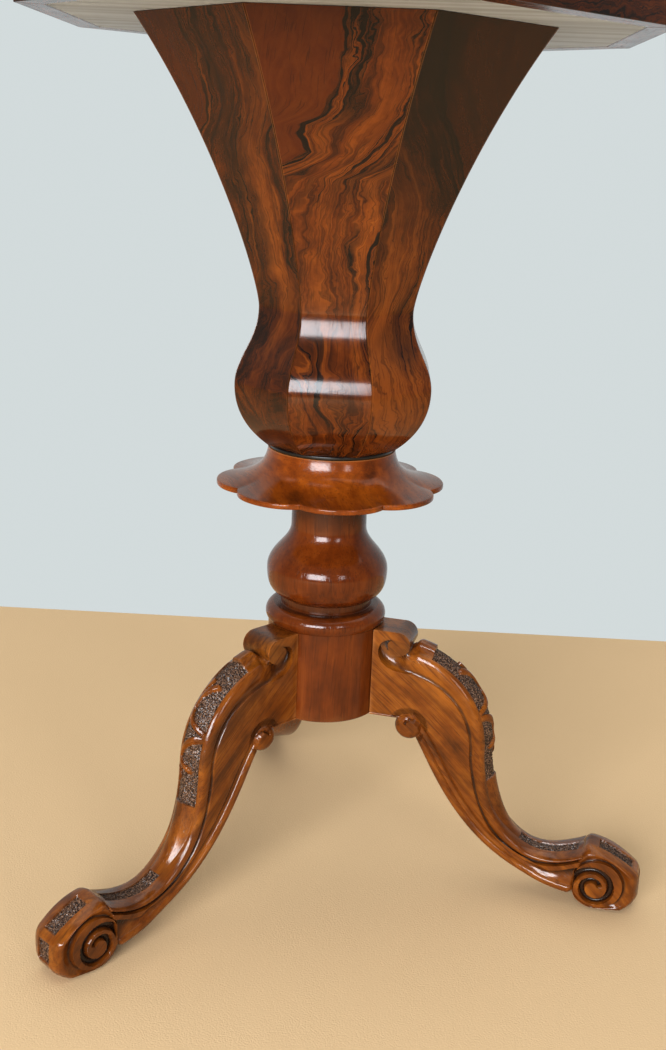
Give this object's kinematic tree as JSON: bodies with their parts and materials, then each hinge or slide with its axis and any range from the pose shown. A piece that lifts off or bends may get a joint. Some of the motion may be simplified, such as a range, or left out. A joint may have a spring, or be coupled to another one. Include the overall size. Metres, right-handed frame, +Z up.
{
  "type": "trumpet work table",
  "caption": "Octagonal walnut work table: hinged lid over a compartmented box and deep trumpet well, on a turned column with scalloped collar and carved scroll legs.",
  "frame": {"origin": "on the floor, under the middle of the table's overall plan; the axis of the column stands at x -0.0203, y -0.0182", "axes": "+Z up; the front facet of the box and trumpet faces -Y; the lid is hinged along the back edge, towards +Y"},
  "size_m": [0.4726, 0.4684, 0.7344],
  "materials": {
    "polished_walnut": "French polished walnut",
    "burr_walnut_veneer": "French polished figured walnut veneer",
    "ebonised_wood": "black polished",
    "bare_softwood": "unfinished, greyed with age",
    "lining_paper": "matt lining",
    "brass": "dull polished"
  },
  "bodies": {
    "table": {"black_ring": "ebonised_wood", "bottom_board_back": "bare_softwood", "bottom_board_front": "bare_softwood", "bottom_board_left": "bare_softwood", "bottom_board_right": "bare_softwood", "box_side_1": "burr_walnut_veneer", "box_side_2": "burr_walnut_veneer", "box_side_3": "burr_walnut_veneer", "box_side_4": "burr_walnut_veneer", "box_side_5": "burr_walnut_veneer", "box_side_6": "burr_walnut_veneer", "box_side_7": "burr_walnut_veneer", "box_side_8": "burr_walnut_veneer", "divider_1": "polished_walnut", "divider_2": "polished_walnut", "divider_3": "polished_walnut", "divider_4": "polished_walnut", "divider_5": "polished_walnut", "divider_6": "polished_walnut", "divider_7": "polished_walnut", "divider_8": "polished_walnut", "hinge_left_box_leaf": "brass", "hinge_left_pin": "brass", "hinge_right_box_leaf": "brass", "hinge_right_pin": "brass", "leg_back": "polished_walnut", "leg_front_left": "polished_walnut", "leg_front_right": "polished_walnut", "scalloped_collar": "polished_walnut", "trumpet_block": "bare_softwood", "trumpet_stave_1": "burr_walnut_veneer", "trumpet_stave_2": "burr_walnut_veneer", "trumpet_stave_3": "burr_walnut_veneer", "trumpet_stave_4": "burr_walnut_veneer", "trumpet_stave_5": "burr_walnut_veneer", "trumpet_stave_6": "burr_walnut_veneer", "trumpet_stave_7": "burr_walnut_veneer", "trumpet_stave_8": "burr_walnut_veneer", "turned_column": "polished_walnut", "well_floor": "bare_softwood", "well_wall_1": "polished_walnut", "well_wall_2": "polished_walnut", "well_wall_3": "polished_walnut", "well_wall_4": "polished_walnut", "well_wall_5": "polished_walnut", "well_wall_6": "polished_walnut", "well_wall_7": "polished_walnut", "well_wall_8": "polished_walnut"},
    "lid": {"lid_board": "burr_walnut_veneer", "lid_lining": "lining_paper", "hinge_left_lid_leaf": "brass", "hinge_right_lid_leaf": "brass"}
  },
  "joints": [
    {"name": "lid_hinge", "type": "hinge", "parent": "table", "child": "lid", "pos_m": [-0.0203, 0.19351, 0.71325], "axis": [-1, 0, 0], "range_deg": [0, 100]}
  ]
}
